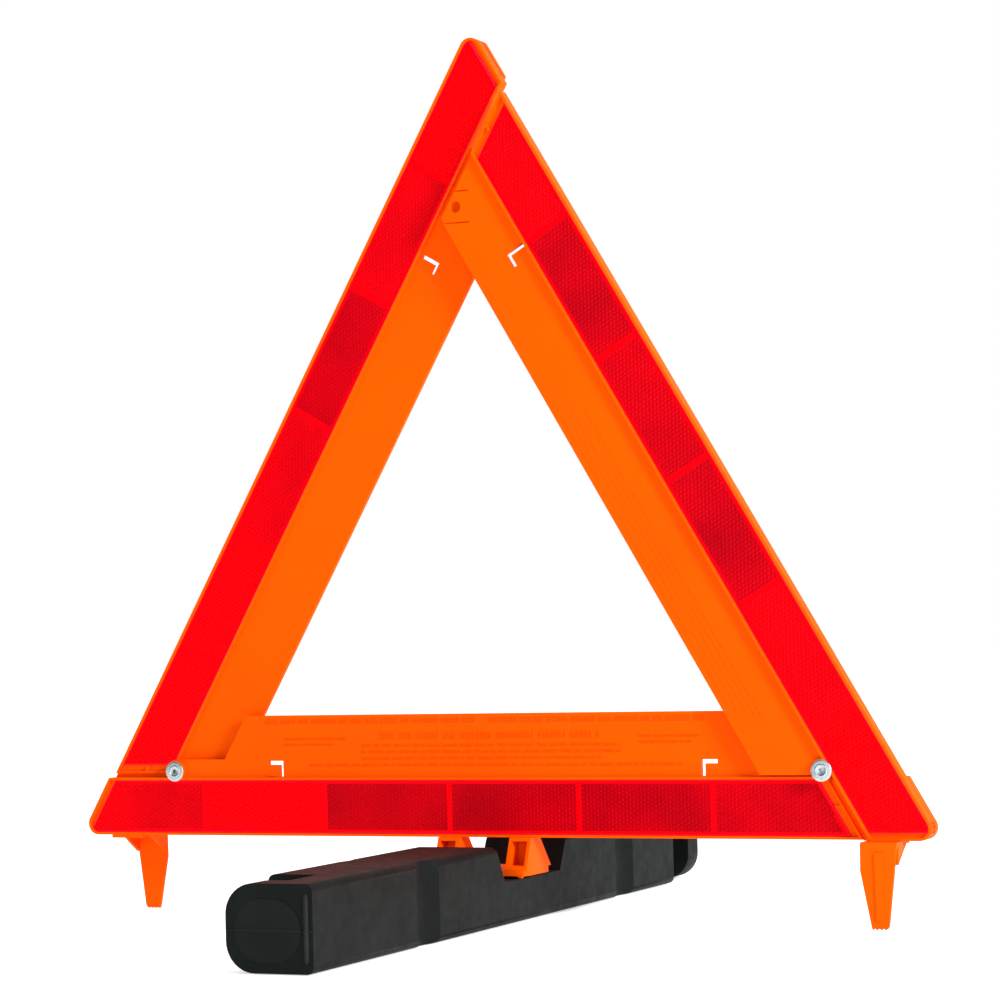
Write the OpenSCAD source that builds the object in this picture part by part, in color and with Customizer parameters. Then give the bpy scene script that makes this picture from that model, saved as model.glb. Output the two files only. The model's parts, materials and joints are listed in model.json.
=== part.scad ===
// Folding warning triangle: three reflector arms that stack flat over a weighted base.
// Millimetres. Z is up and Z = 0 is the ground. X runs along the bottom arm, and the
// viewer stands on the -Y side. The origin is on the base's swivel axis, at the ground.
// Each arm is drawn in its own frame: x along the arm with the head at -x, z inward from
// the triangle's outline, and y through the thickness with y = 0 at the arm's mid-plane.

/* [Triangle] */
// Side of the triangle before its corners are rounded
side = 445; // [440:1:450]
// Width of an arm from the outline to the inner edge of its web
arm_w = 58.2; // [56:0.2:60]
// Width of the reflector housing
housing_w = 28.2; // [27.6:0.2:28.4]
// Thickness of the reflector housing
housing_t = 6.4; // [6.2:0.1:6.4]
// Thickness of the flat web inside the housing
web_t = 2.2; // [1.8:0.1:2.2]
// Distance between the planes of neighbouring arms
pitch = 4.8; // [4.8:0.1:5.2]
// Radius of the outer corners
corner_r = 5.5; // [4:0.5:7]
// Height of the bottom arm's lower edge above the ground
arm_z = 38.6; // [38.4:0.1:40]

/* [Reflectors] */
// Width of the rim round a reflector
rim_w = 1.2; // [1:0.1:1.4]
// Depth of the pocket that holds a reflector
pocket_t = 2; // [1.9:0.1:2.2]
// Thickness of a reflector
lens_t = 1.5; // [1.3:0.1:1.5]
// Distance between the starts of two prism panels
panel_pitch = 63.4; // [55:0.2:70]

/* [Rivets] */
// Distance of each rivet from the two outlines at its corner
rivet_inset = 31.3; // [31:0.1:32]
// Radius of a rivet's shank
rivet_r = 2; // [1.8:0.1:2.1]
// Radius of a rivet's flange
flange_r = 5; // [4.6:0.1:5]

/* [Base] */
// Half of the base's length
base_l = 222; // [221:1:223]
// Half of the base's width between its ends
base_w = 21; // [20.6:0.2:22]
// Height of the base
base_h = 36.8; // [36:0.1:36.8]
// Distance from the centre plane to the rounded side of each end
cap_x = 19.5; // [19:0.1:20]
// Length of each rounded end
end_l = 14.5; // [14:0.1:14.5]
// Wall thickness of the hollow base
wall = 2.2; // [1.8:0.1:2.6]
// Height of the floor of the swivel notch
notch_z = 20; // [19:0.5:20]

/* [Legs] */
// Distance from the base's centre plane to a leg's inner face
leg_y = 17.3; // [17:0.1:18]
// Thickness of a leg's blade
leg_t = 2; // [1.6:0.1:2.4]

/* [Hidden] */
$fn = 64;

orange = [1, 0.38, 0];
deep_orange = [0.97, 0.35, 0];
red = [0.9, 0, 0.03];
steel = [0.78, 0.84, 0.86];
black = [0.09, 0.1, 0.1];
sand = [0.76, 0.66, 0.48];

// Arms: 0 is the bottom, 1 the left and 2 the right. The right arm lies in front and the
// left arm behind, so that both fold flat against the bottom arm.
arm_y = -3;
layer_y = [0, pitch, -pitch];
inradius = side / (2 * sqrt(3));
half_t = housing_t / 2;
half_web = web_t / 2;
rivet_x = side / 2 - rivet_inset * sqrt(3);
web_z0 = housing_w - rim_w;
// Gap between an arm's cut tail and the next arm's housing: bottom, left, right
tail_gap = [3.9, 2, 5.9];
tail_d = [for (gap = tail_gap) housing_w + gap];
fit_gap = 0.05;
lens_gap = 0.1;
lens_head = rim_w + 2.2;
lens_tail = rim_w + 3;
panel_gap = 2.4;
panel_t = 0.15;
slot_w = 2;
catch_x = 112.5;
tongue_top = 37;
boss_r = 5.2;
// Radius of the small bosses and washers between two arms, clear of the housings beside them
spacer_r = 2.9;
hood_d = 20.5;
hood_z = 24;
hood_t = 2.6;
// Latch tongue, placed from the triangle's centre
latch_x = -6.2;
latch_z = 170;
latch_half = 7.2;
latch_root = 0.5;
latch_hole_r = 2.8;
slit_w = 1.3;

step_y = base_l - end_l;
cap_r = 13;
corner_small = 3.2;
notch_top = 41;
notch_floor = 32;
groove_y = 114;
groove_half = 11.5;
groove_depth = 4;
groove_r = (pow(groove_half, 2) + pow(groove_depth, 2)) / (2 * groove_depth);
// Leg recess: its inboard end, its floor beside the blade and the slope over the gussets
recess_y = 182;
recess_x = 9.5;
wedge_x = 2.5;
wedge_slope = 0.55;
column_r = 14.5;
stud_r = 7;
stud_z = 4.9;
ledge_z = 5;
plug_y = 120;
plug_r = 8;
oval_x = 0;
oval_z = 17.4;
oval_half_w = 15.4;
oval_r = 13.1;
post_x0 = 13;
post_x1 = 24;
post_half = 14.5;
plate_z = [21.2, 24.2];

// Edge x of cuts that run parallel to the next arm's outline, at a distance d from it
function head_x(d, z) = -side / 2 + (d + z / 2) / sin(60);
function tail_x(d, z) = side / 2 - (d + z / 2) / sin(60);

// Puts a shape from an arm's frame in its place on the triangle
module place(arm) {
    translate([0, arm_y + layer_y[arm], arm_z + inradius])
        rotate([0, 120 * arm, 0])
            translate([0, 0, -inradius])
                children();
}

// Turns a shape in an arm's frame upright again, about the triangle's centre
module upright(arm) {
    translate([0, 0, inradius])
        rotate([0, -120 * arm, 0])
            children();
}

// Flat shape in x and z, thickened from y0 to y1
module slab(y0, y1) {
    translate([0, y1, 0])
        rotate([90, 0, 0])
            linear_extrude(y1 - y0)
                children();
}

// Round bar along y through the point x, z
module rod(x, z, r, y0, y1) {
    translate([x, y1, z])
        rotate([90, 0, 0])
            cylinder(r = r, h = y1 - y0);
}

// Flat outline with its head corner rounded; far holds the other end's x at z0 and at z1
module capped(z0, z1, head_d, r, far) {
    cz = z0 + r;
    cx = head_x(head_d + r, cz);
    polygon([[cx, z0], [far[0], z0], [far[1], z1],
             [head_x(head_d, z1), z1], [cx - r * sin(60), cz + r / 2]]);
    translate([cx, cz])
        circle(r);
}

// Outline of an arm's housing, made smaller all round by inset
module housing_outline(arm, inset) {
    z0 = inset;
    z1 = housing_w - inset;
    d = tail_d[arm] + inset;
    capped(z0, z1, inset, corner_r - inset, [tail_x(d, z0), tail_x(d, z1)]);
}

// Strip of an arm between two cuts parallel to its neighbours
module strip(z0, z1, head_d, tail_distance) {
    polygon([[head_x(head_d, z0), z0], [tail_x(tail_distance, z0), z0],
             [tail_x(tail_distance, z1), z1], [head_x(head_d, z1), z1]]);
}

// Rounded corner at an arm's head, reaching a distance d along the arm
module corner(d, inset) {
    capped(inset, housing_w - inset, inset, corner_r - inset,
           [head_x(d, inset), head_x(d, housing_w - inset)]);
}

// Plate that carries an arm's tail on behind the next arm's head
module tail_plate(arm) {
    slab(-half_web, half_t)
        mirror([1, 0])
            corner(tail_d[arm] + 3, 0);
}

// Both reflector pockets of an arm, with a small divider left at each end
module pockets(arm) {
    for (face = [-1, 1])
        translate([0, face * (half_t - pocket_t / 2 + 0.5), 0])
            slab(-pocket_t / 2 - 0.5, pocket_t / 2 + 0.5)
                difference() {
                    housing_outline(arm, rim_w);
                    translate([tail_x(tail_d[arm] + lens_tail, housing_w / 2) + 0.4, housing_w / 2])
                        square([lens_tail + 3, rim_w]);
                }
}

// Slot round two sides of a springy catch tab: along the top, and down at the end side_x
module catch_slot(x, side_x, length, top) {
    slab(-half_web - 1, half_web + 1) {
        translate([x - length / 2, top - slot_w])
            square([length, slot_w]);
        translate([x + side_x * (length - slot_w) / 2 - slot_w / 2, housing_w + 0.3])
            square([slot_w, top - housing_w - 0.3]);
    }
}

// Lip across the left catch tab of the bottom arm, which the other arm's edge snaps under
module catch_lip() {
    translate([-catch_x - 4.2, -half_web - 0.8, housing_w + 0.8])
        cube([5.4, 0.9, 1.2]);
}

module rivet_bore(x, gap) {
    rod(x, rivet_inset, rivet_r + gap, -10, 10);
}

module bottom_arm() {
    color(orange)
        place(0)
            difference() {
                union() {
                    slab(-half_t, half_t)
                        housing_outline(0, 0);
                    slab(-half_web, half_web)
                        bottom_web();
                    tail_plate(0);
                    rod(-rivet_x, rivet_inset, boss_r, -half_t, half_web);
                    rod(-rivet_x, rivet_inset, spacer_r, half_web - 0.1, half_t);
                    rod(rivet_x, rivet_inset, spacer_r, -half_t, half_web);
                    catch_lip();
                }
                pockets(0);
                catch_slot(-catch_x, 1, 8, 36.2);
                catch_slot(catch_x, -1, 8, 36.2);
                for (x = [-rivet_x, rivet_x])
                    rivet_bore(x, 0.02);
                for (x = [-post_mid(), post_mid()])
                    tenon_socket(x, 3);
                for (x = [-neck_x(), neck_x()])
                    tenon_socket(x, 2);
            }
}

// Web of the bottom arm: its left end is cut along the left arm above a tongue to the rivet
module bottom_web() {
    web_cut = 52;
    hidden_end = 12;
    polygon([[-rivet_x, web_z0], [tail_x(hidden_end, web_z0), web_z0],
             [tail_x(hidden_end, arm_w), arm_w], [head_x(web_cut, arm_w), arm_w],
             [head_x(web_cut, tongue_top), tongue_top], [-rivet_x, tongue_top]]);
    translate([-rivet_x, rivet_inset])
        circle(tongue_top - rivet_inset);
}

function post_mid() = (post_x0 + post_x1) / 2;
function neck_x() = 187;

// Socket in the bottom arm's lower edge for a tenon of the given half length
module tenon_socket(x, half_l) {
    translate([x - half_l - fit_gap, -0.8 - fit_gap, -1])
        cube([2 * (half_l + fit_gap), 1.6 + 2 * fit_gap, 4.1]);
}

module tenon(x, half_l) {
    translate([x - half_l, arm_y - 0.8, arm_z - 0.5])
        cube([2 * half_l, 1.6, 3.4]);
}

// Second layer behind the left arm's head, cut back on its inner side
module hood(y0, y1, inset) {
    slab(y0, y1)
        intersection() {
            corner(hood_d, inset);
            translate([-side, 0])
                square([side, hood_z]);
        }
}

module left_arm() {
    color(orange)
        place(1)
            difference() {
                union() {
                    slab(-half_t, half_t)
                        housing_outline(1, 0);
                    slab(-half_web, half_web)
                        strip(web_z0, arm_w, housing_w + 1.8, 8);
                    tail_plate(1);
                    rod(rivet_x, rivet_inset, boss_r, -half_web, half_t);
                    hood(half_t - 0.1, half_t + 2, 1.5);
                    hood(half_t + 1.9, half_t + 2 + hood_t, 0);
                }
                difference() {
                    pockets(1);
                    slab(half_t - pocket_t - 1, half_t + 5)
                        corner(hood_d, 0);
                }
                catch_slot(-catch_x, -1, 6.4, 38.8);
                rivet_bore(rivet_x, fit_gap);
                rod(-rivet_x, rivet_inset, 3.7, -half_t - 1, -half_t + 0.8);
                upright(1)
                    rod(latch_x, latch_z, latch_hole_r - 0.4, -3, 3);
            }
}

module right_arm() {
    color(deep_orange)
        place(2)
            difference() {
                union() {
                    slab(-half_t, half_t)
                        housing_outline(2, 0);
                    slab(-half_web, half_web)
                        strip(web_z0, arm_w, housing_w + 1, tail_d[2]);
                    rod(-rivet_x, rivet_inset, boss_r, -half_t, half_web);
                }
                pockets(2);
                catch_slot(catch_x, 1, 7.6, 38.8);
                rivet_bore(-rivet_x, fit_gap);
                rod(rivet_x, rivet_inset, 6, 0.6, half_t + 1);
                upright(2)
                    tongue_shape(slit_w, half_web + fit_gap);
            }
}

// Latch tongue in upright coordinates, grown by gap along its two slits
module tongue_shape(gap, root_r) {
    z0 = latch_z - latch_half - gap / 2;
    z1 = latch_z + latch_half + gap / 2;
    free_x = -latch_root - 30;
    slab(-half_web - gap, half_web + gap)
        polygon([[latch_root, z0], [latch_root, z1], [free_x, z1], [free_x, z0]]);
    translate([latch_root, 0, z0])
        cylinder(r = root_r, h = z1 - z0);
}

module latch_tongue() {
    color(deep_orange)
        place(2)
            difference() {
                intersection() {
                    upright(2)
                        tongue_shape(0, half_web);
                    slab(-half_web, half_web)
                        strip(housing_w, arm_w - 0.5, housing_w, tail_d[2]);
                }
                upright(2)
                    rod(latch_x, latch_z, latch_hole_r, -3, 3);
            }
}

// One reflector with raised prism panels; face is -1 at the front and 1 at the rear
module lens(arm, face, head_d) {
    floor_y = half_t - pocket_t;
    edge = rim_w + lens_gap;
    border = 2;
    color(red)
        place(arm)
            scale([1, face, 1]) {
                slab(floor_y, floor_y + lens_t)
                    intersection() {
                        housing_outline(arm, edge);
                        strip(edge, housing_w - edge, head_d, tail_d[arm] + lens_tail);
                    }
                slab(floor_y + lens_t, floor_y + lens_t + panel_t)
                    intersection() {
                        housing_outline(arm, edge + border);
                        strip(edge + border, housing_w - edge - border,
                              head_d + border, tail_d[arm] + lens_tail + border);
                        for (i = [-3:2])
                            translate([i * panel_pitch - 20, 0])
                                square([panel_pitch - panel_gap, housing_w]);
                    }
            }
}

// Tubular rivet along y, with a wide flange in front and a rolled end behind
module rivet(front, back) {
    flange_t = 0.6;
    hole_r = 1.3;
    roll_r = spacer_r;
    difference() {
        union() {
            rod(0, 0, flange_r, front - flange_t, front);
            rod(0, 0, rivet_r, front - flange_t, back);
            rod(0, 0, roll_r, back, back + 0.8);
        }
        rod(0, 0, hole_r, front - 5, back + 5);
        rod(0, 0, 2.2, front - 5, front - flange_t + 0.3);
    }
}

module rivets() {
    color(steel)
        translate([0, arm_y, arm_z + rivet_inset]) {
            translate([-rivet_x, 0, 0])
                rivet(-half_t - fit_gap, pitch + half_t + fit_gap);
            translate([rivet_x, 0, 0])
                rivet(-pitch - half_t - fit_gap, half_web + fit_gap);
        }
}

// Thin washers between the bottom arm and the arm that turns on it
module pivot_washers() {
    gap = pitch - half_web - half_t;
    color(steel)
        translate([0, arm_y, arm_z + rivet_inset])
            for (s = [-1, 1])
                difference() {
                    rod(s * rivet_x, 0, spacer_r, -s * (half_t + gap / 2) - gap / 2 + fit_gap,
                        -s * (half_t + gap / 2) + gap / 2 - fit_gap);
                    rod(s * rivet_x, 0, rivet_r + fit_gap, -10, 10);
                }
}

// Leg in front of the base at +x, with a shelf back under the bottom arm, mid-plane at neck_y
module leg(neck_y) {
    top_x = [188, 205];
    tip_x = [192.3, 200.4];
    shelf_z = [37.1, 38.5];
    knee_z = 26;
    teeth = 4;
    tooth = (tip_x[1] - tip_x[0]) / teeth;
    tooth_h = 1.8;
    outer_y = -leg_y - leg_t;
    slab(outer_y, -leg_y)
        polygon(concat([[tip_x[1], tooth_h], [top_x[1], shelf_z[1]], [top_x[0] + 1.5, shelf_z[1]],
                        [top_x[0], shelf_z[1] - 1.5], [top_x[0] - 0.2, knee_z], [tip_x[0], tooth_h]],
                       [for (i = [0:teeth - 1], end = [0, 1])
                           [tip_x[0] + (i + 0.25 + end * 0.5) * tooth, end == 0 ? 0 : tooth_h * 0.4]]));
    // Raised rib down the blade
    slab(outer_y - 0.7, outer_y + 0.1)
        polygon([[194.6, 34], [198.6, 34], [197.8, 4], [195, 4]]);
    // Shelf back under the bottom arm
    translate([top_x[0], outer_y, shelf_z[0]])
        cube([top_x[1] - top_x[0], neck_y + half_t - outer_y, shelf_z[1] - shelf_z[0]]);
    // Gussets under the shelf at both edges of the blade
    for (x = [top_x[0], top_x[1] - 1.6])
        translate([x + 1.6, 0, 0])
            rotate([90, 0, -90])
                linear_extrude(1.6)
                    polygon([[leg_y, 28.5], [leg_y - 13.3, shelf_z[0] + 0.2], [leg_y, shelf_z[0] + 0.2]]);
}

module right_leg() {
    color(orange) {
        leg(arm_y);
        tenon(neck_x(), 2);
    }
}

module left_leg() {
    color(orange) {
        rotate([0, 0, 180])
            leg(-arm_y);
        tenon(-neck_x(), 2);
    }
}

// Hollow-sided post of the swivel yoke, wide at the foot and narrow under the arm
module post() {
    wall_x = 1.5;
    panel_y = 1;
    profile = [[-post_half, plate_z[1] - 0.1], [post_half, plate_z[1] - 0.1],
               [arm_y + 5.2, arm_z], [arm_y - 5.2, arm_z]];
    difference() {
        translate([post_x0, 0, 0])
            rotate([90, 0, 90])
                linear_extrude(post_x1 - post_x0)
                    polygon(profile);
        for (face = [-1, 1])
            translate([post_x0 + wall_x, face > 0 ? panel_y : -40 - panel_y, plate_z[1] + 1.6])
                cube([post_x1 - post_x0 - 2 * wall_x, 40, arm_z - plate_z[1] - 3.2]);
    }
}

module swivel_yoke() {
    lip_h = 0.9;
    color(orange) {
        post();
        mirror([1, 0, 0])
            post();
        for (x = [-post_mid(), post_mid()])
            tenon(x, 3);
        difference() {
            union() {
                intersection() {
                    translate([-post_x1, -post_half, plate_z[0]])
                        cube([2 * post_x1, 2 * post_half, plate_z[1] - plate_z[0]]);
                    cylinder(r = 26.5, h = 60);
                }
                translate([0, 0, stud_z])
                    cylinder(r = stud_r, h = plate_z[0] - stud_z + 0.1);
                // Pointed snap tabs at two opposite corners of the plate
                for (turn = [0, 180])
                    rotate([0, 0, turn])
                        translate([post_x1 - 4, -post_half + 2.2, 0])
                            rotate([90, 0, 0])
                                linear_extrude(1.8)
                                    polygon([[-2, plate_z[0] + 0.1], [0.2, plate_z[0] - lip_h],
                                             [1.4, plate_z[0] - lip_h], [2, plate_z[0] + 0.1]]);
            }
            cylinder(r = 2.5, h = 16.2);
        }
    }
}

module swivel_screw() {
    head_z = 0.8;
    head_t = 2.6;
    color(steel)
        difference() {
            union() {
                translate([0, 0, head_z])
                    cylinder(r = 4.5, h = head_t);
                translate([0, 0, head_z + head_t - 0.1])
                    cylinder(r = 2.5, h = 12.8);
            }
            for (turn = [0, 90])
                rotate([0, 0, turn])
                    translate([-2.4, -0.5, -1])
                        cube([4.8, 1, head_z + 1 + 1.3]);
        }
}

module swivel_washer() {
    color(steel)
        translate([0, 0, stud_z - 1.5])
            difference() {
                cylinder(r = 10.2, h = 1.5);
                translate([0, 0, -1])
                    cylinder(r = 2.6, h = 4);
            }
}

// Rectangle with round corners, drawn from exact arcs
module rounded(x0, x1, z0, z1, r) {
    translate([x0 + r, z0])
        square([x1 - x0 - 2 * r, z1 - z0]);
    translate([x0, z0 + r])
        square([x1 - x0, z1 - z0 - 2 * r]);
    for (x = [x0 + r, x1 - r], z = [z0 + r, z1 - r])
        translate([x, z])
            circle(r);
}

// Solid form of the base, made smaller all round by inset
module base_form(inset) {
    difference() {
        union() {
            slab(-step_y, step_y)
                rounded(-base_w + inset, base_w - inset, inset, base_h - inset, corner_small - inset * 0.9);
            for (turn = [0, 180])
                rotate([0, 0, turn])
                    slab(-base_l + inset, -step_y + 0.5)
                        cap_outline(inset);
        }
        base_notch(inset);
        for (turn = [0, 180])
            rotate([0, 0, turn]) {
                leg_recess(inset);
                for (y = [-groove_y, groove_y])
                    translate([base_w + groove_r - groove_depth, y, -1])
                        cylinder(r = groove_r + inset, h = base_h + 2);
            }
    }
}

// Outline of an end: large corners on the side of the leg, small corners on the other
module cap_outline(inset) {
    r = cap_r - inset;
    for (z = [cap_r, base_h - cap_r])
        translate([-cap_x + cap_r, z])
            circle(r);
    translate([-cap_x + inset, cap_r])
        square([cap_x, base_h - 2 * cap_r]);
    rounded(-cap_x + cap_r - corner_small, base_w - inset, inset, base_h - inset,
            corner_small - inset * 0.9);
}

// Notch across the middle that the yoke turns in
module base_notch(inset) {
    rotate([90, 0, 90])
        translate([0, 0, -50])
            linear_extrude(100)
                polygon([[-notch_top - inset, base_h + 0.1], [-notch_floor - inset, notch_z - inset],
                         [notch_floor + inset, notch_z - inset], [notch_top + inset, base_h + 0.1]]);
}

// Recess beside each end that takes a leg: a flat floor for its blade and a slope for its gussets
module leg_recess(inset) {
    drop = inset * sqrt(1 + pow(wedge_slope, 2));
    far_x = wedge_x + 5;
    slab(-step_y - inset, -recess_y + inset) {
        translate([-base_w - 5, -1])
            square([base_w + 5 - recess_x + inset, base_h + 2]);
        polygon([[-base_w - 1, base_h + 4], [far_x, base_h + 4],
                 [far_x, base_h + 5 * wedge_slope - drop],
                 [-base_w - 1, base_h - (wedge_x + base_w + 1) * wedge_slope - drop]]);
    }
}

module oval(grow) {
    translate([oval_x - oval_half_w + oval_r, oval_z - oval_r - grow])
        square([2 * (oval_half_w - oval_r), 2 * (oval_r + grow)]);
    for (s = [-1, 1])
        translate([oval_x + s * (oval_half_w - oval_r), oval_z])
            circle(oval_r + grow);
}

module base_shell() {
    color(black)
        difference() {
            union() {
                difference() {
                    base_form(0);
                    base_form(wall);
                }
                cylinder(r = column_r, h = notch_z - wall / 2);
            }
            translate([0, 0, -1])
                cylinder(r = stud_r + fit_gap, h = base_h);
            translate([0, 0, -1])
                cylinder(r = 11, h = ledge_z + 1);
            translate([0, plug_y, -1])
                cylinder(r = plug_r + fit_gap, h = wall + 2);
            for (turn = [0, 180])
                rotate([0, 0, turn])
                    slab(-base_l - 1, -base_l + 1)
                        oval(fit_gap);
        }
}

module sand_fill() {
    fill_z = 27;
    color(sand)
        difference() {
            intersection() {
                base_form(wall + 0.3);
                translate([-50, -base_l, 0])
                    cube([100, 2 * base_l, fill_z]);
            }
            translate([0, 0, -1])
                cylinder(r = column_r + 0.3, h = base_h);
        }
}

module fill_plug() {
    color(black)
        translate([0, plug_y, 0.3])
            cylinder(r = plug_r, h = wall - 0.4);
}

module end_plate() {
    slab(-base_l - 0.3, -base_l + 1 - fit_gap)
        oval(0);
}

module end_plate_near() {
    color(black)
        end_plate();
}

module end_plate_far() {
    color(black)
        rotate([0, 0, 180])
            end_plate();
}

bottom_arm();
left_arm();
right_arm();
lens(0, -1, lens_head);  // bottom_lens_front
lens(0, 1, lens_head);  // bottom_lens_rear
lens(1, -1, lens_head);  // left_lens_front
lens(1, 1, 26);  // left_lens_rear
lens(2, -1, lens_head);  // right_lens_front
lens(2, 1, lens_head);  // right_lens_rear
latch_tongue();
rivets();
pivot_washers();
right_leg();
left_leg();
swivel_yoke();
swivel_screw();
swivel_washer();
base_shell();
sand_fill();
fill_plug();
end_plate_near();
end_plate_far();
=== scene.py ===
# Folding warning triangle: materials, prism reflectors, rivets, moulded relief, light and camera.
# Metres, in the frame of the CAD model: +Z up, the viewer on the -Y side.
import json
import math
import random

import bmesh
import bpy
from mathutils import Matrix, Vector

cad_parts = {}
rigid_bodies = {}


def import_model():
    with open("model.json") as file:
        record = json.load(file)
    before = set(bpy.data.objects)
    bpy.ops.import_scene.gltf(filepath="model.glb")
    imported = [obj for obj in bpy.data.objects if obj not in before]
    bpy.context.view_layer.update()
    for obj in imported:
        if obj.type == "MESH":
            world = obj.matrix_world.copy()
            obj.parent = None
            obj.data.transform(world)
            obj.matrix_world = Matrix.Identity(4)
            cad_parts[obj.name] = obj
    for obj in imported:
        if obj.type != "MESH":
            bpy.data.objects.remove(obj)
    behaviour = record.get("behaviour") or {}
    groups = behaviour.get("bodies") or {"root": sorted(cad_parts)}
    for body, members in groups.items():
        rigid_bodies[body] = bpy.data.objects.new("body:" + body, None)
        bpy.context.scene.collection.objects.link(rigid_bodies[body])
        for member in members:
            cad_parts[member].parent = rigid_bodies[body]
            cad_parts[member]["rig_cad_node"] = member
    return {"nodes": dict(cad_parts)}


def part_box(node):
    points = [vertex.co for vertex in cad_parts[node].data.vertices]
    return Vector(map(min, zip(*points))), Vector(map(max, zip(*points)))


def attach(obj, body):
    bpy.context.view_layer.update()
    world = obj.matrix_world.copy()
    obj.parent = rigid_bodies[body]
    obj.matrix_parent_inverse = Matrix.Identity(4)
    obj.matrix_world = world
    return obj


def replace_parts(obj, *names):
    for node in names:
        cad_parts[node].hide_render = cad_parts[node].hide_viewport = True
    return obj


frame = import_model()
for stray in [o for o in bpy.data.objects if o.type in ("MESH", "LIGHT", "CAMERA")]:
    if "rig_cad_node" not in stray:
        bpy.data.objects.remove(stray)
bpy.context.view_layer.update()
SEED = 7
rng = random.Random(SEED)

MM = 0.001
# The triangle, as in the CAD model
SIDE = 445 * MM
INRADIUS = SIDE / (2 * math.sqrt(3))
HALF_HOUSING = 3.2 * MM
HALF_WEB = 1.1 * MM
POCKET = 2 * MM
LENS_T = 1.5 * MM
RIVET_INSET = 31.3 * MM
ARM_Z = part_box("bottom_arm")[0].z
ARM_Y = (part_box("bottom_lens_front")[0].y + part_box("bottom_lens_rear")[1].y) / 2
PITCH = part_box("left_lens_front")[0].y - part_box("bottom_lens_front")[0].y
ARMS = ("bottom", "left", "right")
ARM_LAYER = {"bottom": 0, "left": PITCH, "right": -PITCH}
ARM_BODY = {"bottom": "stand", "left": "left_side", "right": "right_side"}


def arm_matrix(arm):
    """From an arm's own frame (x along it, z in from the outline, y through it) to the object's frame."""
    centre = Vector((0, ARM_Y + ARM_LAYER[arm], ARM_Z + INRADIUS))
    turn = Matrix.Rotation(math.radians(120 * ARMS.index(arm)), 4, "Y")
    return Matrix.Translation(centre) @ turn @ Matrix.Translation((0, 0, -INRADIUS))


# ---------------------------------------------------------------- materials

# Numbers of a Mix node's sockets for colours
MIX_A = 6
MIX_B = 7
MIX_RESULT = 2


class Shader:
    """Small helper to build one node material."""

    def __init__(self, name):
        self.material = bpy.data.materials.new(name)
        self.material.use_nodes = True
        self.tree = self.material.node_tree
        self.bsdf = self.tree.nodes["Principled BSDF"]
        self.coords = self.tree.nodes.new("ShaderNodeTexCoord").outputs["Object"]

    def add(self, kind, **settings):
        made = self.tree.nodes.new(kind)
        for key, value in settings.items():
            setattr(made, key, value)
        return made

    def link(self, source, target):
        self.tree.links.new(source, target)

    def noise(self, scale, detail, rough=0.5, stretch=None):
        made = self.add("ShaderNodeTexNoise")
        made.inputs["Scale"].default_value = scale
        made.inputs["Detail"].default_value = detail
        made.inputs["Roughness"].default_value = rough
        source = self.coords
        if stretch:
            mapping = self.add("ShaderNodeMapping")
            mapping.inputs["Scale"].default_value = stretch
            self.link(self.coords, mapping.inputs["Vector"])
            source = mapping.outputs["Vector"]
        self.link(source, made.inputs["Vector"])
        return made.outputs["Fac"]

    def ramp(self, source, low, high, start=0.3, end=0.7):
        """Two-colour ramp; a number stands for a grey."""
        made = self.add("ShaderNodeValToRGB")
        for stop, value, place in zip(made.color_ramp.elements, (low, high), (start, end)):
            stop.position = place
            stop.color = (*value, 1) if isinstance(value, tuple) else (value, value, value, 1)
        self.link(source, made.inputs["Fac"])
        return made.outputs["Color"]

    def set(self, **values):
        for key, value in values.items():
            socket = self.bsdf.inputs[key.replace("_", " ")]
            if isinstance(value, bpy.types.NodeSocket):
                self.link(value, socket)
            else:
                socket.default_value = (*value, 1) if isinstance(value, tuple) else value

    def bump(self, height, strength, distance, before=None):
        made = self.add("ShaderNodeBump")
        made.inputs["Strength"].default_value = strength
        made.inputs["Distance"].default_value = distance
        self.link(height, made.inputs["Height"])
        if before:
            self.link(before, made.inputs["Normal"])
        self.link(made.outputs["Normal"], self.bsdf.inputs["Normal"])
        return made.outputs["Normal"]


def scuffed(shader, colour, worn, amount, stretch=(1, 6, 6)):
    """Thin worn streaks mixed over a colour."""
    streaks = shader.ramp(shader.noise(60, 6, 0.7, stretch), 0.0, amount, 0.62, 0.78)
    mix = shader.add("ShaderNodeMix", data_type="RGBA")
    shader.link(streaks, mix.inputs["Factor"])
    shader.link(colour, mix.inputs[MIX_A])
    mix.inputs[MIX_B].default_value = (*worn, 1)
    return mix.outputs[MIX_RESULT]


def moulded_orange(name, light, dark):
    """Fluorescent orange plastic with a satin moulded skin."""
    shader = Shader(name)
    colour = shader.ramp(shader.noise(9, 4), dark, light, 0.25, 0.6)
    shader.set(Base_Color=scuffed(shader, colour, (1.0, 0.16, 0.005), 0.25),
               Roughness=shader.ramp(shader.noise(70, 5), 0.36, 0.5),
               Specular_IOR_Level=0.02)
    flow = shader.bump(shader.noise(38, 2, stretch=(1, 1, 0.4)), 0.12, 0.0006)
    shader.bump(shader.noise(1700, 3, 0.7), 0.2, 0.00005, flow)
    return shader.material


def reflector_red(name, light, dark, rough):
    """Clear red acrylic: deep colour under a gloss."""
    shader = Shader(name)
    colour = shader.ramp(shader.noise(26, 3), dark, light, 0.2, 0.7)
    shader.set(Base_Color=scuffed(shader, colour, (1.0, 0.0, 0.01), 0.2),
               Roughness=shader.ramp(shader.noise(90, 4), rough, rough + 0.12),
               Specular_IOR_Level=0.02)
    shader.bump(shader.noise(120, 2), 0.08, 0.0003)
    return shader.material


def brushed_zinc(name):
    shader = Shader(name)
    shader.set(Base_Color=shader.ramp(shader.noise(300, 4), (0.36, 0.43, 0.45), (0.55, 0.62, 0.64)),
               Metallic=1.0,
               Roughness=shader.ramp(shader.noise(900, 5), 0.22, 0.40))
    shader.bump(shader.noise(2600, 4, 0.7), 0.2, 0.00003)
    return shader.material


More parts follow.
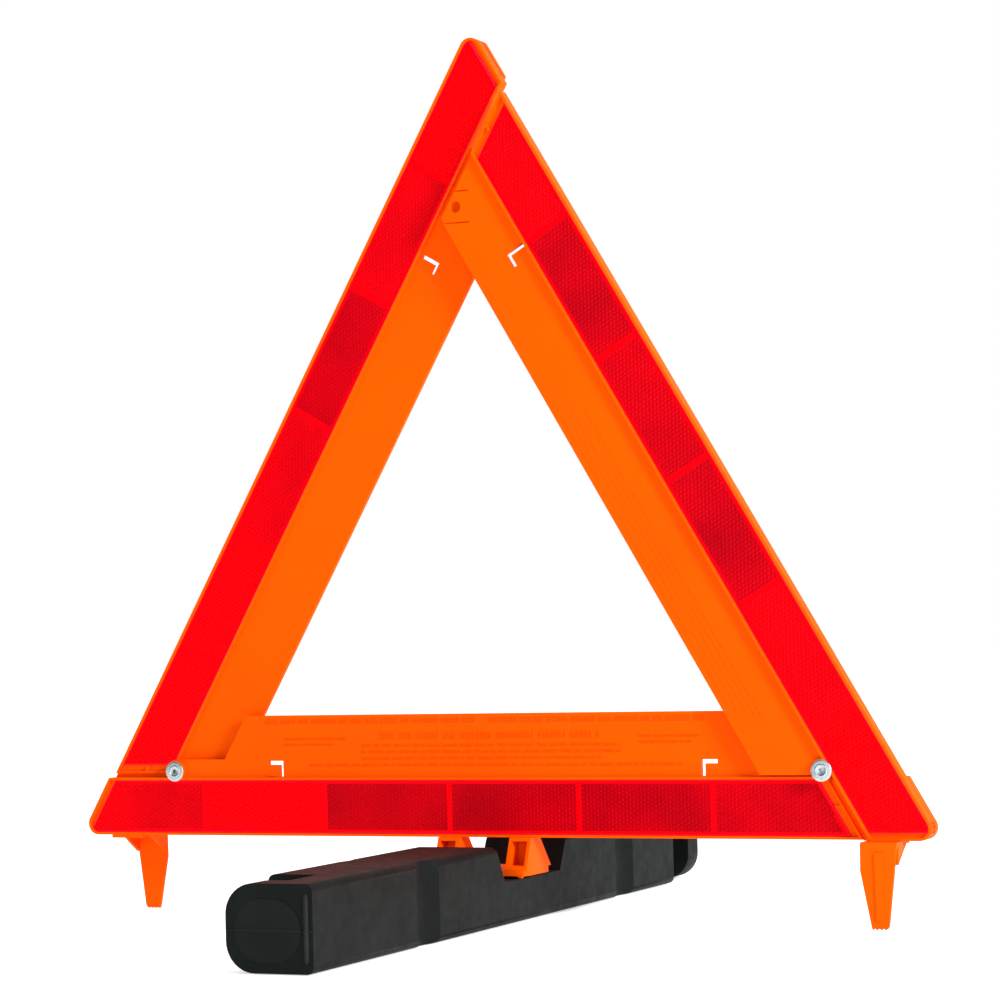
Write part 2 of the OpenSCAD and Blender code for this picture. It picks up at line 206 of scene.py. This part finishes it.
def moulded_black(name, dark, light):
    """Blow-moulded black plastic: fine leather grain, slight sheen, faint wall waviness and scuffs."""
    shader = Shader(name)
    colour = shader.ramp(shader.noise(45, 5), dark, light)
    shader.set(Base_Color=scuffed(shader, colour, (0.02, 0.022, 0.021), 0.4, (6, 1, 6)),
               Roughness=shader.ramp(shader.noise(160, 5, 0.65), 0.52, 0.66),
               Specular_IOR_Level=0.09)
    wave = shader.bump(shader.noise(16, 2), 0.2, 0.0010)
    grain = shader.bump(shader.noise(900, 4, 0.7), 0.3, 0.00008, wave)
    shader.bump(shader.noise(3200, 2, 0.6), 0.2, 0.00003, grain)
    return shader.material


def dry_sand(name):
    shader = Shader(name)
    shader.set(Base_Color=shader.ramp(shader.noise(1500, 6, 0.8), (0.42, 0.32, 0.18), (0.72, 0.60, 0.40)),
               Roughness=0.95)
    shader.bump(shader.noise(1800, 4, 0.8), 0.8, 0.0004)
    return shader.material


ORANGE = moulded_orange("fluorescent_orange", (0.96, 0.091, 0.0), (0.88, 0.078, 0.0))
# Darker copy of the orange for the bottom web's raised marks: painted shade standing in for the shading
# at the marks' edges
ORANGE_RELIEF_PAINTED_SHADE = moulded_orange("fluorescent_orange_relief_painted_shade", (0.80, 0.072, 0.0), (0.74, 0.064, 0.0))
# Slightly darker copy of the orange for the right web's raised marks: a faint painted shade at the marks
ORANGE_FAINT_PAINTED_SHADE = moulded_orange("fluorescent_orange_faint_painted_shade", (0.88, 0.084, 0.0), (0.82, 0.076, 0.0))
RED_CLEAR = reflector_red("reflector_clear", (0.98, 0.0, 0.003), (0.94, 0.0, 0.004), 0.24)
# Pinker red for the lens chamfers: a painted highlight along the lens edges
RED_CHAMFER_HIGHLIGHT = reflector_red("reflector_chamfer_painted_highlight", (1.0, 0.012, 0.050), (1.0, 0.006, 0.030), 0.2)
# Lit, half-shaded and shaded copies of the prism red: painted light and shade, not a difference in the
# acrylic
PRISM_PAINTED_SHADES = {"bright": reflector_red("reflector_prism_painted_lit", (0.97, 0.0, 0.002), (0.86, 0.0, 0.003), 0.2),
          "mid": reflector_red("reflector_prism_painted_half_shade", (0.74, 0.0, 0.003), (0.52, 0.0, 0.004), 0.18),
          "dark": reflector_red("reflector_prism_painted_shade", (0.58, 0.0, 0.004), (0.34, 0.0, 0.005), 0.16)}
ZINC = brushed_zinc("zinc_plated_steel")
BLACK = moulded_black("blow_moulded_black", (0.0022, 0.0038, 0.0036), (0.0046, 0.0070, 0.0066))
BLACK_CAP = moulded_black("end_cap_black", (0.0044, 0.0056, 0.0054), (0.0080, 0.0096, 0.0092))
# Lighter black for the parting lines and edge beads: a painted highlight along the base's end edges
BLACK_PAINTED_HIGHLIGHT = moulded_black("black_painted_highlight", (0.010, 0.012, 0.0115), (0.017, 0.019, 0.0185))
SAND = dry_sand("sand_grains")


# ---------------------------------------------------------------- mesh helpers

# Edges that turn by more than this many degrees are rounded
SHARP_ANGLE = 40
TURNED_STEPS = 72


def piece(name, bm, material, body, matrix=None, smooth_angle=None):
    """Turns a bmesh into a piece that rides on a body."""
    if matrix:
        bm.transform(matrix)
    bmesh.ops.recalc_face_normals(bm, faces=bm.faces)
    mesh = bpy.data.meshes.new(name)
    bm.to_mesh(mesh)
    bm.free()
    made = bpy.data.objects.new(name, mesh)
    bpy.context.scene.collection.objects.link(made)
    for one in material if isinstance(material, (list, tuple)) else [material]:
        mesh.materials.append(one)
    if smooth_angle:
        for face in mesh.polygons:
            face.use_smooth = True
        mesh.set_sharp_from_angle(angle=math.radians(smooth_angle))
    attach(made, body)
    return made


def soften(made, width, segments):
    """Rounds an object's hard edges with modifiers, so its own mesh stays as it is."""
    weld = made.modifiers.new("weld", "WELD")
    weld.merge_threshold = 1e-6
    bevel = made.modifiers.new("edge_rounding", "BEVEL")
    bevel.width = width
    bevel.segments = segments
    bevel.limit_method = "ANGLE"
    bevel.angle_limit = math.radians(SHARP_ANGLE)
    bevel.harden_normals = True
    bevel.miter_outer = "MITER_ARC"


def turned(bm, profile, centre):
    """Adds a shape turned about the Y axis through centre; profile holds (radius, y) points."""
    rings = []
    for radius, y in profile:
        ring = []
        for i in range(TURNED_STEPS):
            a = 2 * math.pi * i / TURNED_STEPS
            ring.append(bm.verts.new(centre + Vector((radius * math.cos(a), y, radius * math.sin(a)))))
        rings.append(ring)
    closed = rings + [rings[0]]
    for first, second in zip(closed, closed[1:]):
        for i in range(TURNED_STEPS):
            j = (i + 1) % TURNED_STEPS
            bm.faces.new((first[i], first[j], second[j], second[i]))


def raised_bar(bm, x0, x1, z0, z1, y, height, chamfer):
    """Adds a low bar with sloping sides, standing on the plane y towards -Y."""
    foot = [bm.verts.new((x, y, z)) for x, z in ((x0, z0), (x1, z0), (x1, z1), (x0, z1))]
    c = min(chamfer, (z1 - z0) / 3, (x1 - x0) / 3)
    top = [bm.verts.new((x, y - height, z)) for x, z in
           ((x0 + c, z0 + c), (x1 - c, z0 + c), (x1 - c, z1 - c), (x0 + c, z1 - c))]
    bm.faces.new(top)
    bm.faces.new(foot[::-1])
    for i in range(4):
        j = (i + 1) % 4
        bm.faces.new((foot[i], foot[j], top[j], top[i]))


# ---------------------------------------------------------------- CAD nodes that stay

# Material of each node that stays, and the rounding of its edges in mm
NODE_LOOKS = {
    "bottom_arm": (ORANGE, 0.35), "left_arm": (ORANGE, 0.35), "right_arm": (ORANGE, 0.35),
    "latch_tongue": (ORANGE, 0.2), "right_leg": (ORANGE, 0.3), "left_leg": (ORANGE, 0.3),
    "swivel_yoke": (ORANGE, 0.35), "pivot_washers": (ZINC, 0.05),
    "swivel_screw": (ZINC, 0.2), "swivel_washer": (ZINC, 0.2),
    "base_shell": (BLACK, 1.6), "fill_plug": (BLACK, 0.3),
    "end_plate_near": (BLACK_CAP, 0.35), "end_plate_far": (BLACK_CAP, 0.35), "sand_fill": (SAND, 0.3),
}
for node, (material, rounding) in NODE_LOOKS.items():
    cad = frame["nodes"][node]
    cad.data.materials.clear()
    cad.data.materials.append(material)
    soften(cad, rounding * MM, segments=3 if node == "base_shell" else 2)


# ---------------------------------------------------------------- reflectors

PRISM = 1.2 * MM
PRISM_STEP = 0.12 * MM
BORDER = 1.5 * MM
PANEL_PITCH = 66.6 * MM
PANEL_GAP = 2 * MM
PANEL_START = -217.3 * MM
CORNER_R = 5.5 * MM
PLATE_EDGE = 1.3 * MM
PLATE_CHAMFER = 0.6 * MM
CORNER_STEPS = 8
PANEL_LIFT = 0.02 * MM
# Painted light and shade of each prism panel, standing in for how each panel catches the light, from an
# arm's head to its tail
PANEL_PAINTED_SHADES = {"bottom": ("mid", "bright", "dark", "dark", "dark", "dark"),
               "left": ("bright", "mid", "dark", "mid", "bright", "bright"),
               "right": ("bright", "mid", "dark", "dark", "dark", "mid")}


def lens_ends(node, arm):
    """A lens's low and high z in its arm's frame, and the x of its head and tail edges at each."""
    inverse = arm_matrix(arm).inverted()
    points = [inverse @ v.co for v in frame["nodes"][node].data.vertices]
    z0 = min(p.z for p in points)
    z1 = max(p.z for p in points)
    high = [p.x for p in points if p.z > z1 - 0.01 * MM]
    tail_low = max(p.x for p in points)
    head_high = min(high)
    lean = (z1 - z0) * math.tan(math.radians(30))
    return z0, z1, (head_high - lean, head_high), (tail_low, max(high))


def lens_plate(bm, z0, z1, head, tail, face):
    """The clear red plate with its head corner rounded and the edges of its outer face chamfered, the
    chamfers in a pinker red as a painted highlight.
    """
    floor_y = HALF_HOUSING - POCKET
    radius = CORNER_R - PLATE_EDGE
    centre_x = -SIDE / 2 + CORNER_R * math.sqrt(3)
    outline = [(tail[1], z1), (tail[0], z0)]
    if head[0] < centre_x - radius:
        for step in range(CORNER_STEPS + 1):
            a = math.radians(270 - 60 * step / CORNER_STEPS)
            outline.append((centre_x + radius * math.cos(a), CORNER_R + radius * math.sin(a)))
    else:
        outline.append((head[0], z0))
    outline.append((head[1], z1))
    inner = [bm.verts.new((x, face * floor_y, z)) for x, z in outline]
    back = bm.faces.new(inner)
    lifted = bmesh.ops.extrude_face_region(bm, geom=[back])["geom"]
    outer = [v for v in lifted if isinstance(v, bmesh.types.BMVert)]
    bmesh.ops.translate(bm, verts=outer, vec=(0, face * LENS_T, 0))
    rim = [e for e in bm.edges if all(v in outer for v in e.verts)]
    chamfer = bmesh.ops.bevel(bm, geom=rim, offset=PLATE_CHAMFER, segments=2, profile=0.5, affect="EDGES")
    # The chamfer strips take the pinker red of the painted highlight
    for strip in chamfer["faces"]:
        strip.material_index = 1


def prism_panel(bm, z0, z1, head, tail, face, start, end, tone):
    """One raised panel of cube corners: a triangular lattice stepping through three heights, in one of
    the reds of painted light and shade.
    """
    base_y = HALF_HOUSING - POCKET + LENS_T + PANEL_LIFT
    row_h = PRISM * math.sqrt(3) / 2
    rows = int((z1 - z0 - 2 * BORDER) / row_h)
    start_z = (z0 + z1 - rows * row_h) / 2
    columns = int((end - start) / PRISM)
    grid = {}
    for j in range(rows + 1):
        z = start_z + j * row_h
        part = (z - z0) / (z1 - z0)
        head_x = head[0] + (head[1] - head[0]) * part
        tail_x = tail[0] + (tail[1] - tail[0]) * part
        for i in range(columns + 1):
            x = start + (i + (j % 2) / 2) * PRISM
            ragged = BORDER + rng.choice((0, 0, 0, 0.5)) * PRISM
            if head_x + ragged < x < tail_x - ragged:
                level = (i - j // 2 - j) % 3
                grid[i, j] = bm.verts.new((x, face * (base_y + level * PRISM_STEP), z))
    for i, j in list(grid):
        k = i + 1 if j % 2 else i
        for triangle in (((i, j), (i + 1, j), (k, j + 1)), ((i, j), (k, j + 1), (k - 1, j + 1))):
            if all(spot in grid for spot in triangle):
                bm.faces.new([grid[spot] for spot in triangle]).material_index = tone


PAINTED_SHADE_ORDER = list(PRISM_PAINTED_SHADES)
for arm in ARMS:
    for side, face in (("front", -1), ("rear", 1)):
        node = f"{arm}_lens_{side}"
        ends = lens_ends(node, arm)
        plate = bmesh.new()
        lens_plate(plate, *ends, face)
        made = piece(f"{arm}_reflector_{side}", plate, (RED_CLEAR, RED_CHAMFER_HIGHLIGHT), ARM_BODY[arm],
                     arm_matrix(arm))
        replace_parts(made, node)
        panels = bmesh.new()
        for number, tone in enumerate(PANEL_PAINTED_SHADES[arm]):
            start = PANEL_START + number * PANEL_PITCH
            end = SIDE / 2 if number == len(PANEL_PAINTED_SHADES[arm]) - 1 else start + PANEL_PITCH - PANEL_GAP
            prism_panel(panels, *ends, face, start, end, PAINTED_SHADE_ORDER.index(tone))
        piece(f"{arm}_prisms_{side}", panels, list(PRISM_PAINTED_SHADES.values()), ARM_BODY[arm],
              arm_matrix(arm))


# ---------------------------------------------------------------- rivets

def rivet(bm, centre, length):
    """Tubular rivet whose flange faces -Y at centre, with its rolled end at length behind, in mm."""
    profile = [(1.0, -0.1), (1.2, -0.25), (1.7, -0.26), (1.95, -0.34), (2.3, -0.57), (2.65, -0.59),
               (2.95, -0.50), (3.15, -0.36), (4.3, -0.38), (4.75, -0.30), (4.95, -0.12), (4.95, 0.0),
               (1.99, 0.0), (1.99, length), (2.6, length), (2.88, length + 0.2),
               (2.88, length + 0.5), (2.6, length + 0.75), (1.9, length + 0.75), (1.3, length + 0.3),
               (1.0, length - 0.5)]
    turned(bm, [(r * MM, y * MM) for r, y in profile], centre)


rivet_x = SIDE / 2 - RIVET_INSET * math.sqrt(3)
rivet_z = ARM_Z + RIVET_INSET
FIT_GAP = 0.05 * MM
left_length = PITCH + 2 * HALF_HOUSING + 2 * FIT_GAP
right_length = PITCH + HALF_HOUSING + HALF_WEB + 2 * FIT_GAP
rivets = bmesh.new()
rivet(rivets, Vector((-rivet_x, ARM_Y - HALF_HOUSING - FIT_GAP, rivet_z)), left_length / MM)
rivet(rivets, Vector((rivet_x, ARM_Y - PITCH - HALF_HOUSING - FIT_GAP, rivet_z)), right_length / MM)
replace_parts(piece("tubular_rivets", rivets, ZINC, "stand", smooth_angle=35), "rivets")


# ---------------------------------------------------------------- moulded relief on the webs

RELIEF_SINK = 0.02 * MM
RELIEF_CHAMFER = 0.12 * MM
BOTTOM_RELIEF_H = 0.26 * MM
RIGHT_RELIEF_H = 0.16 * MM
RIGHT_MARK_H = 1.2 * MM
RIGHT_MARK_W = 0.9 * MM
# Widest mark of a row on the bottom web, as a part of the mark's height
MARK_ASPECT = 0.62
# Rows of plain marks in an arm's frame, in mm: height above the outline, mark height, first and last x
BOTTOM_ROWS = ((54.0, 2.4, -118, -4), (54.0, 2.4, 2, 112), (46.4, 3.2, -56, 60), (42.6, 1.5, -66, 70),
               (39.6, 1.5, -66, 70), (36.6, 1.4, -66, 60), (33.4, 1.4, -94, 100), (46.2, 1.1, -108, -74),
               (43.4, 1.1, -108, -80), (46.6, 1.1, 78, 108), (43.8, 1.1, 78, 104))
# The same for the right arm, whose marks are all of one height
RIGHT_ROWS = ((54, -120, 44), (51.2, -124, 30), (48.4, -128, 40), (45.6, -132, 10), (42.8, -136, 34))


def relief_row(bm, x0, x1, z, mark_h, height, widest):
    """A row of small plain raised marks in uneven groups, on the front of a web."""
    x = x0
    while x < x1:
        group = rng.randint(3, 9)
        for _ in range(group):
            width = rng.uniform(0.45, 1) * widest
            if x + width > x1:
                return
            raised_bar(bm, x, x + width, z, z + mark_h, -HALF_WEB + RELIEF_SINK, height, RELIEF_CHAMFER)
            x += width + 0.35 * widest
        x += 0.9 * widest


bottom_relief = bmesh.new()
for z, mark_h, x0, x1 in BOTTOM_ROWS:
    relief_row(bottom_relief, x0 * MM, x1 * MM, z * MM, mark_h * MM, BOTTOM_RELIEF_H,
               mark_h * MARK_ASPECT * MM)
# The bottom web's marks are in the darker orange of painted shade
piece("bottom_web_relief", bottom_relief, ORANGE_RELIEF_PAINTED_SHADE, "stand", arm_matrix("bottom"))

right_relief = bmesh.new()
for z, x0, x1 in RIGHT_ROWS:
    relief_row(right_relief, x0 * MM, x1 * MM, z * MM, RIGHT_MARK_H, RIGHT_RELIEF_H, RIGHT_MARK_W)
# The right web's marks are in the faintly darker orange of painted shade
piece("right_web_relief", right_relief, ORANGE_FAINT_PAINTED_SHADE, "right_side", arm_matrix("right"))


# ---------------------------------------------------------------- mould marks on the base's ends

PARTING_Z = 17.5 * MM
PARTING_ENDS = (-19 * MM, 20.4 * MM)
FIN_START = 14.4 * MM
BEAD_X = 17.9 * MM
BEAD_R = 1.1 * MM
BEAD_STEPS = 12
# Heights up the bead, in mm, and the part of its full radius at each
BEAD_PROFILE = ((4.2, 0.2), (5, 0.8), (6, 1), (31, 1), (32, 0.8), (32.8, 0.2))


def end_marks(bm, turn):
    """Parting line across an end face and a half-round bead down its square edge."""
    end_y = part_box("base_shell")[0].y
    plate_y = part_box("end_plate_near")[0].y
    before = len(bm.verts)
    raised_bar(bm, *PARTING_ENDS, PARTING_Z - 0.2 * MM, PARTING_Z + 0.2 * MM, plate_y + 0.05 * MM,
               0.14 * MM, 0.1 * MM)
    raised_bar(bm, FIN_START, PARTING_ENDS[1], PARTING_Z - 0.3 * MM, PARTING_Z + 0.3 * MM, end_y,
               0.5 * MM, 0.2 * MM)
    rings = []
    for height, part in BEAD_PROFILE:
        ring = []
        for i in range(BEAD_STEPS + 1):
            a = math.pi * i / BEAD_STEPS
            ring.append(bm.verts.new((BEAD_X + BEAD_R * part * math.cos(a),
                                      end_y + 0.1 * MM - BEAD_R * part * math.sin(a), height * MM)))
        rings.append(ring)
    for first, second in zip(rings, rings[1:]):
        for i in range(BEAD_STEPS):
            bm.faces.new((first[i], first[i + 1], second[i + 1], second[i]))
        bm.faces.new((first[0], second[0], second[-1], first[-1]))
    bm.faces.new(rings[0])
    bm.faces.new(rings[-1])
    bm.verts.ensure_lookup_table()
    bmesh.ops.rotate(bm, verts=bm.verts[before:], cent=(0, 0, 0), matrix=Matrix.Rotation(turn, 3, "Z"))


marks = bmesh.new()
for turn in (0, math.pi):
    end_marks(marks, turn)
# The parting lines and beads take the lighter black of the painted highlight
piece("base_mould_marks", marks, BLACK_PAINTED_HIGHLIGHT, "weighted_base", smooth_angle=40)


# ---------------------------------------------------------------- stage, light and camera

# Strength of the white surroundings on the viewer's side and behind the object
FRONT_LIGHT = 0.27
BACK_LIGHT = 1.0
FLOOR_REACH = 6
FLOOR_DROP = 0.4 * MM
FLOOR_GLOW = 0.5
CAMERA_PLACE = (0.6170, -1.3464, 0.1485)
CAMERA_AZIMUTH = 24.30
CAMERA_ELEVATION = -1.90
CAMERA_ROLL = -1.53
CAMERA_LENS = 112.32


def area_light(name, place, aim, width, height, power):
    data = bpy.data.lights.new(name, "AREA")
    data.shape = "RECTANGLE"
    data.size = width
    data.size_y = height
    data.energy = power
    made = bpy.data.objects.new(name, data)
    made.location = place
    made.rotation_euler = (Vector(aim) - Vector(place)).to_track_quat("-Z", "Y").to_euler()
    bpy.context.scene.collection.objects.link(made)


def pale_floor():
    bm = bmesh.new()
    bmesh.ops.create_grid(bm, x_segments=2, y_segments=2, size=FLOOR_REACH)
    mesh = bpy.data.meshes.new("studio_floor")
    bm.to_mesh(mesh)
    bm.free()
    made = bpy.data.objects.new("studio_floor", mesh)
    made.location.z = -FLOOR_DROP
    bpy.context.scene.collection.objects.link(made)
    shader = Shader("studio_white")
    tone = shader.ramp(shader.noise(3, 3), 0.90, 0.93)
    shader.set(Base_Color=tone, Roughness=0.9, Specular_IOR_Level=0.05,
               Emission_Color=(1.0, 1.0, 1.0), Emission_Strength=FLOOR_GLOW)
    mesh.materials.append(shader.material)


def studio_world():
    """White studio behind the object, dimmer on the viewer's side."""
    world = bpy.data.worlds.new("studio")
    world.use_nodes = True
    tree = world.node_tree
    background = tree.nodes["Background"]
    coords = tree.nodes.new("ShaderNodeTexCoord")
    split = tree.nodes.new("ShaderNodeSeparateXYZ")
    ramp = tree.nodes.new("ShaderNodeMapRange")
    ramp.interpolation_type = "SMOOTHSTEP"
    ramp.inputs["From Min"].default_value = -0.55
    ramp.inputs["From Max"].default_value = 0.35
    ramp.inputs["To Min"].default_value = FRONT_LIGHT
    ramp.inputs["To Max"].default_value = BACK_LIGHT
    tree.links.new(coords.outputs["Generated"], split.inputs["Vector"])
    tree.links.new(split.outputs["Y"], ramp.inputs["Value"])
    background.inputs["Color"].default_value = (1, 1, 1, 1)
    tree.links.new(ramp.outputs["Result"], background.inputs["Strength"])
    bpy.context.scene.world = world


def photo_camera():
    """Camera low on the triangle's right, a little below its middle, rolled slightly."""
    azimuth, elevation, roll = (math.radians(a) for a in (CAMERA_AZIMUTH, CAMERA_ELEVATION, CAMERA_ROLL))
    back = Vector((math.sin(azimuth) * math.cos(elevation), -math.cos(azimuth) * math.cos(elevation),
                   math.sin(elevation)))
    right = Vector((math.cos(azimuth), math.sin(azimuth), 0))
    up = back.cross(right)
    tilted_right = right * math.cos(roll) + up * math.sin(roll)
    tilted_up = up * math.cos(roll) - right * math.sin(roll)
    data = bpy.data.cameras.new("camera")
    data.sensor_width = 36
    data.lens = CAMERA_LENS
    data.clip_start = 0.05
    data.clip_end = 50
    made = bpy.data.objects.new("camera", data)
    basis = Matrix((tilted_right, tilted_up, back)).transposed().to_4x4()
    made.matrix_world = Matrix.Translation(CAMERA_PLACE) @ basis
    bpy.context.scene.collection.objects.link(made)
    bpy.context.scene.camera = made


bpy.context.scene.view_settings.view_transform = "Standard"
pale_floor()
studio_world()
area_light("key", (2.0, -0.8, 0.95), (0, 0, 0.18), 0.5, 0.5, 62)
area_light("front_fill", (0.4, -2.2, 0.5), (0, 0, 0.2), 1.2, 0.8, 9)
area_light("top", (0.1, 0.3, 1.9), (0, 0, 0.1), 1.2, 1.2, 8)
photo_camera()

bpy.context.view_layer.update()
